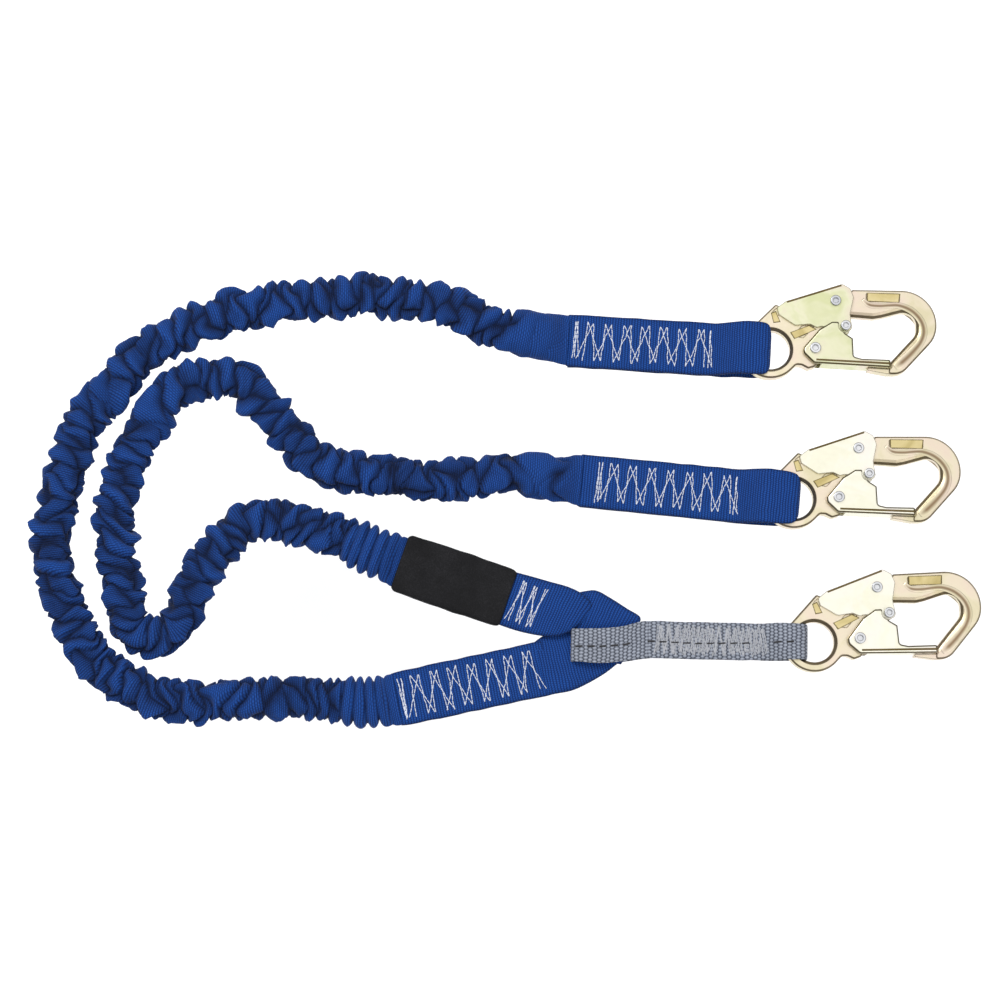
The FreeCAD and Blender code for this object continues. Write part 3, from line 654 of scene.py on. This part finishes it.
upper = placed(*UPPER_END, UPPER_HEADING)
line = [(*upper(u, 0, 4.7), w)
        for u, w in ((0, 36.6), (1.2, 39.0), (4, 40.6), (14, 41.2), (40, 41.8), (66, 41.2), (74, 40.6),
                     (76.8, 39.0), (78, 36.8))]
sleeve = ribbon("branch_sleeve_cover", line, sideways(UPPER_HEADING), 9.2, SLEEVE, edge=0.5, wave=0.35,
                seed=3, columns=56)
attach(sleeve, "webbing")
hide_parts("branch_sleeve")

upper_web = loft("upper_branch_web", [
    ((-128, -43.9, 4.6), (-140.5, -79.4, 4.6)), ((-116, -47.6, 5.2), (-128.5, -83.3, 5.2)),
    ((-104, -51.0, 6.2), (-117, -87.3, 6.0)), ((-91.8, -54.7, 7.4), (-106.1, -90.1, 6.8)),
    ((-80.5, -58.0, 8.4), (-95.5, -91.8, 7.3)), ((-71.5, -62.3, 8.6), (-86.5, -91.2, 7.4)),
    ((-65.6, -67.8, 7.2), (-79.5, -88.2, 6.6)), ((-63.6, -73.5, 4.6), (-75.5, -84.6, 4.6)),
    ((-66.5, -77.5, 2.4), (-77.5, -82.0, 2.6))], 3.6, BLUE, crown=1.0)
diagonal = loft("bight_web", [
    ((-76, -62, 2.6), (-88, -84, 2.6)), ((-68, -60.5, 3.6), (-82, -88, 3.2)),
    ((-60.5, -60.4, 5.0), (-74, -93, 4.2)), ((-51, -65.6, 5.6), (-67, -100, 4.8)),
    ((-40, -72.7, 5.6), (-58, -106, 4.8)), ((-31.2, -78.5, 5.2), (-50, -109.5, 4.6)),
    ((-33.4, -84.5, 4.0), (-45, -110.5, 4.0))], 3.4, BLUE, crown=0.8)
lower_web = loft("lower_bight_web", [
    ((-103, -95.2, 3.8), (-95, -132.0, 4.0)), ((-97, -91.0, 3.0), (-89, -130.6, 5.0)),
    ((-88, -87.6, 2.2), (-77.5, -128.3, 5.2)), ((-76, -86.4, 2.1), (-66, -123.0, 5.2)),
    ((-62, -90.0, 2.3), (-55, -116.4, 4.8)), ((-49, -97.0, 3.2), (-45.8, -109.2, 4.4))], 3.4, BLUE, crown=0.9)
for piece in (upper_web, diagonal, lower_web):
    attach(piece, "webbing")
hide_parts("upper_branch_strap")
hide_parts("webbing_bight")
rows = zigzag(upper, 80.5, 100, 14.2, 2.5, top_of(upper_web), 2.0, 41)
threads = seam("upper_branch_thread", rows, THREAD_RADIUS, WHITE, "webbing")
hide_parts("upper_branch_stitching")

# ---- grey harness strap ------------------------------------------------------------------------------------
x, y, heading, _ = EYES["c"]
grey_side = sideways(heading)
loop_line = [(-8, -94.0, 3.2, 24), (-20, -93.8, 3.0, 24.3), (-30, -94.4, 2.2, 24.5), (-42, -96.2, 1.5, 24.5),
             (-58, -98.2, 1.3, 23.3), (-70, -98.3, 1.6, 23), (-76.2, -98.1, 4.0, 22.8),
             (-77.6, -98.0, 7.0, 22.6), (-76.2, -97.9, 10.2, 22.8), (-70, -98.2, 11.9, 23),
             (-58, -98.5, 12.0, 23.2), (-44, -97.2, 11.2, 23.6),
             (-32, -94.4, 9.0, 24.8), (-22, -93.7, 6.3, 24.6), (-8, -94.0, 5.0, 24)]
grey_loop = ribbon("grey_loop_web", loop_line, grey_side, 1.9, GREY, seed=9)
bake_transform(grey_loop)
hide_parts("grey_loop")

run = placed(x, y, heading)
profile = [(-111.5, 1.3, 24.2), (-105, 1.2, 24.6), (-70, 1.2, 24.8), (-40, 1.3, 24.6), (-30, 2.0, 24.6),
           (-20, 3.6, 24.4), (-11, 4.2, 24.2), (-6.5, 6.4, 24), (-5.2, 11.0, 23.8), (-6.5, 15.4, 24),
           (-11, 17.3, 24.3), (-20, 16.8, 24.5), (-29, 12.6, 24.6), (-38, 8.2, 24.6), (-46, 7.0, 24.8),
           (-75, 6.7, 25), (-100, 6.9, 25), (-109, 7.2, 24.6), (-112.6, 7.0, 24.2)]
grey_web = ribbon("harness_web", [(*run(u, 0, z), w) for u, z, w in profile], grey_side, 2.3, GREY, seed=14)
tuple(c * MM for c in run(BEND_AT - BEND_HALF, 0, 4))
tuple(c * MM for c in run(BEND_AT + BEND_HALF, 0, 4))
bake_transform(grey_web)
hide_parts("harness_strap", "harness_eye_loop")
line = [(*run(u, 0, 4.0), w) for u, w in ((-106, 23.4), (-90, 23.8), (-60, 23.8), (-42, 23.4))]
filler = ribbon("harness_inner_ply", line, grey_side, 3.4, GREY, seed=2)
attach(filler, "harness_strap")
height = top_of(grey_web, grey_loop)
back = placed(*run(-110, 0, 0)[:2], heading)
rows = []
for k in range(3):
    rows += zigzag(back, 2 + 1.3 * k, 76 + k, 10.4 - 1.3 * k, 11 + 2 * k, height, 1.0, 50 + k)
threads = seam("harness_thread", rows, 0.26, GREY_THREAD, "harness_strap")
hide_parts("harness_stitching")
TRACER_PITCH = 8.0
TRACER_X = [-78, -58, -44, -32, -26, 7, 42, 76]
TRACER_Y = [-99.1, -99.2, -98.2, -95.9, -95.2, -96.9, -96.6, -96.5]
for name, start, end, body in (("tracer_loop", -75.5, -32.5, "webbing"),
                               ("tracer_sewn", -26.5, 43, "harness_strap"),
                               ("tracer_eye", 58.5, 73.5, "hook_c")):
    dashes = []
    for x in np.arange(start, end - 3, TRACER_PITCH):
        spots = [(x + d, float(np.interp(x + d, TRACER_X, TRACER_Y)) + 0.06 * d)
                 for d in (0, 1.2, 2.4, 3.6, 4.8)]
        tops = [height(*spot) for spot in spots]
        if all(top is not None for top in tops):
            dashes.append([(*spot, top + 0.1) for spot, top in zip(spots, tops)])
    tracer = seam(name, dashes, 0.62, TRACER, body)
    if body == "harness_strap":
        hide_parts("harness_tracer")

# ---- metal -------------------------------------------------------------------------------------------------
for tag in "abc":
    for name, mat in (("body", FORGED), ("gate", PRESSED), ("lock_lever", PRESSED), ("gate_rivet", RIVET),
                      ("lever_rivet", RIVET), ("lock_pin", RIVET), ("gate_spring", SPRING),
                      ("lever_spring", SPRING)):
        if tag == "a" and mat is PRESSED:
            mat = OLIVE
        paint(NODES["hook_%s_%s" % (tag, name)], mat)

# blank stippled panels with a dark line round them, painted shade of the pocket wall, on both faces of each hook
STIPPLE = plated("stippled_plate", (0.50, 0.41, 0.18), (0.62, 0.52, 0.26), (0.70, 0.60, 0.34), 0.45, 2600.0)
# dark line round each panel: painted shade of the pocket wall
PANEL_WALL_SHADE = plated("painted_panel_shade", (0.10, 0.075, 0.03), (0.13, 0.10, 0.04), (0.16, 0.12, 0.05), 0.5, 900.0)
# thin dark sheets at each fold: painted shade along the bend
PAINTED_FOLD_SHADE = plated("painted_fold_shade", (0.13, 0.095, 0.04), (0.16, 0.12, 0.055), (0.19, 0.14, 0.08), 0.4, 900.0)
PANELS = {"arm": [(66.9, 35.1), (88.4, 34.5), (89.2, 40.6), (66.9, 41.0)],
          "web": [(13.9, 12.2), (16.7, 7.8), (31.4, 14.5), (26.5, 17.2)],
          "root": [(0.6, 25.4), (2.2, 19.0), (6.6, 19.6), (3.7, 26.6)]}
# dark line where each pressed plate is folded, painted shade along the bend: body, height of the plate's face,
# outline
FOLDS = {"lever": (6.8, [(10.9, 33.8), (48.6, 46.3), (49.0, 45.0), (11.3, 32.5)]),
         "gate": (8.9, [(31.0, -6.8), (81.4, -8.6), (81.4, -10.1), (31.0, -8.1)])}


def plate(name, outline, low, high, mat, body):
    n = len(outline)
    verts = [[c * MM for c in (x, y, z)] for z in (low, high) for x, y in outline]
    faces = [tuple(range(n - 1, -1, -1)), tuple(range(n, 2 * n))]
    faces += [(i, (i + 1) % n, n + (i + 1) % n, n + i) for i in range(n)]
    mesh = bpy.data.meshes.new(name)
    mesh.from_pydata(verts, [], faces)
    obj = bpy.data.objects.new(name, mesh)
    bpy.context.collection.objects.link(obj)
    paint(obj, mat)
    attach(obj, body)


for tag, (x, y, _, turn) in EYES.items():
    at = placed(x, y, turn)
    for name, (level, corners) in FOLDS.items():
        for face, up in FACES:
            low, high = sorted((HOOK_MID + up * (level - 0.3), HOOK_MID + up * (level + 0.05)))
            outline = [at(u, v, 0)[:2] for u, v in corners]
            plate("hook_%s_%s_fold_%s" % (tag, name, face), outline, low, high, PAINTED_FOLD_SHADE, "%s_%s" % (name, tag))

# centre line (u, v) and half width of the recessed band that follows the nose
NOSE_BAND = [(63.5, 36.5, 1.2), (68, 32.6, 1.9), (75, 31.8, 2.0), (82, 32.3, 2.0), (88, 32.4, 2.2),
             (94, 30.6, 2.4), (99, 27.4, 2.5), (103, 22.8, 2.5), (105.2, 17.5, 2.5), (105.2, 12, 2.6),
             (103.2, 6.8, 2.7), (99.6, 2.0, 3.0), (95.4, -2.6, 3.3), (91.2, -6.6, 3.4),
             (87.6, -9.6, 2.8), (85.4, -11.4, 1.6)]


def nose_band(name, at, up, body):
    """Shallow ridge and groove along the nose: a strip just above the face, with painted shade of the groove in
    its middle.
    """
    pts, run = smooth_line([(u, v, 0, w) for u, v, w in NOSE_BAND], 1.0)
    flow = np.gradient(pts[:, :2], axis=0)
    flow /= np.linalg.norm(flow, axis=1)[:, None]
    out = np.stack([-flow[:, 1], flow[:, 0]], axis=1)
    lanes = np.linspace(-1, 1, 13)
    fade = np.clip(np.minimum(run, run[-1] - run) / 6.0, 0, 1)
    verts, painted_shade, faces = [], [], []
    for k in range(len(pts)):
        for lane in lanes:
            u, v = pts[k, :2] + out[k] * lane * pts[k, 3]
            lift = 0.04 + 0.22 * fade[k] * math.exp(-((lane + 0.55) / 0.30) ** 2)
            verts.append([c * MM for c in at(u, v, HOOK_MID + up * (FACE + lift))])
            # painted shade of the groove, darkest in the middle of the strip
            painted_shade.append(fade[k] * math.exp(-((lane - 0.05) / 0.50) ** 2))
    n = len(lanes)
    for k in range(len(pts) - 1):
        for j in range(n - 1):
            quad = (k * n + j, k * n + j + 1, (k + 1) * n + j + 1, (k + 1) * n + j)
            faces.append(quad if up < 0 else quad[::-1])
    mesh = bpy.data.meshes.new(name)
    mesh.from_pydata(verts, [], faces)
    mesh.attributes.new("painted_shade", "FLOAT", "POINT").data.foreach_set("value", painted_shade)
    mesh.polygons.foreach_set("use_smooth", [True] * len(faces))
    obj = bpy.data.objects.new(name, mesh)
    bpy.context.collection.objects.link(obj)
    thick = obj.modifiers.new("thick", "SOLIDIFY")
    thick.thickness = 0.4 * MM
    thick.offset = -1.0
    paint(obj, BAND)
    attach(obj, body)


for tag, (x, y, _, turn) in EYES.items():
    at = placed(x, y, turn)
    for face, up in FACES:
        nose_band("hook_%s_nose_band_%s" % (tag, face), at, up, "hook_%s" % tag)
    for name, corners in PANELS.items():
        mid = np.mean(corners, axis=0)
        for face, up in FACES:
            for part, grow, proud, mat in (("line", 0.45, 0.03, PANEL_WALL_SHADE), ("panel", 0.0, 0.07, STIPPLE)):
                outline = []
                for u, v in corners:
                    away = np.array([u, v]) - mid
                    away /= np.linalg.norm(away)
                    outline.append(at(u + away[0] * grow, v + away[1] * grow, 0)[:2])
                low, high = sorted((HOOK_MID + up * (FACE - 0.6), HOOK_MID + up * (FACE + proud)))
                plate("hook_%s_%s_%s_%s" % (tag, name, part, face), outline, low, high, mat, "hook_%s" % tag)

# ---- studio ------------------------------------------------------------------------------------------------
mesh = bpy.data.meshes.new("floor")
corners = [(x * FLOOR_HALF, y * FLOOR_HALF, FLOOR_AT) for x, y in ((-1, -1), (1, -1), (1, 1), (-1, 1))]
mesh.from_pydata(corners, [], [(0, 1, 2, 3)])
floor = bpy.data.objects.new("floor", mesh)
bpy.context.collection.objects.link(floor)
m = Nodes("floor_paper")
m.bsdf.inputs["Base Color"].default_value = (0.95, 0.95, 0.95, 1)
m.bsdf.inputs["Roughness"].default_value = 0.9
m.bsdf.inputs["Emission Color"].default_value = (1, 1, 1, 1)
m.bsdf.inputs["Emission Strength"].default_value = 0.16
paint(floor, m.mat)

world = bpy.data.worlds.new("studio")
bpy.context.scene.world = world
world.use_nodes = True
sky = world.node_tree.nodes
place = sky.new("ShaderNodeTexCoord")
split = sky.new("ShaderNodeSeparateXYZ")
dome = sky.new("ShaderNodeValToRGB")
dome.color_ramp.elements[0].color = (0.16, 0.16, 0.16, 1)
dome.color_ramp.elements[1].color = (1.0, 1.0, 1.0, 1)
for position, tone in ((0.42, 0.34), (0.80, 0.95)):
    dome.color_ramp.elements.new(position).color = (tone, tone, tone, 1)
world.node_tree.links.new(place.outputs["Generated"], split.inputs[0])
world.node_tree.links.new(split.outputs[2], dome.inputs[0])
world.node_tree.links.new(dome.outputs[0], sky["Background"].inputs[0])
sky["Background"].inputs[1].default_value = 1.05


def softbox(name, place, aim, size, power):
    light = bpy.data.lights.new(name, "AREA")
    light.size = size
    light.energy = power
    obj = bpy.data.objects.new(name, light)
    obj.location = place
    obj.rotation_euler = (Vector(aim) - Vector(place)).to_track_quat("-Z", "Y").to_euler()
    bpy.context.collection.objects.link(obj)


softbox("key", (-0.9, 0.9, 1.5), (-0.1, 0, 0), 0.8, 22)
softbox("fill", (1.0, -0.9, 1.3), (-0.1, 0, 0), 1.2, 8)

camera = bpy.data.cameras.new("camera")
camera.lens = LENS
camera.sensor_width = SENSOR
shot = bpy.data.objects.new("camera", camera)
bpy.context.collection.objects.link(shot)
tilt = math.radians(VIEW_TILT)
aim = Vector((-0.1265, 0.0017, 0.008))
reach = VIEW_WIDTH * LENS / SENSOR
shot.location = aim + Vector((0, -math.sin(tilt), math.cos(tilt))) * reach
shot.rotation_euler = (tilt, 0, 0)
bpy.context.scene.camera = shot
bpy.context.scene.view_settings.view_transform = "Standard"
